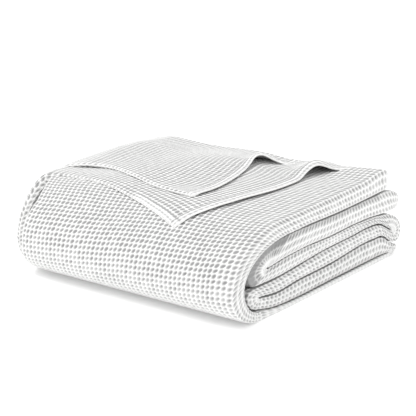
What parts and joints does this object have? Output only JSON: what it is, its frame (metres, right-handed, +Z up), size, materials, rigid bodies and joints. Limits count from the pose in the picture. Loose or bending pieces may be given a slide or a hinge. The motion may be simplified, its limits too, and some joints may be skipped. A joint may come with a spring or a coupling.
{
  "type": "folded waffle weave blanket",
  "caption": "White waffle weave cotton blanket folded into a low square stack, its loose corners lying over the top.",
  "frame": {"origin": "middle of the stack's outline seen from above, at the height of the flat face it rests on", "axes": "+X along the front fold, from the left end, which the loose corners are folded round, to the right end; +Y from the broad front fold to the rear, where the inner folds show as rounded lobes; +Z up through the layers"},
  "size_m": [0.4515, 0.4466, 0.1551],
  "materials": {
    "cotton": "matte"
  },
  "bodies": {
    "root": {"blanket": "cotton"}
  },
  "joints": []
}
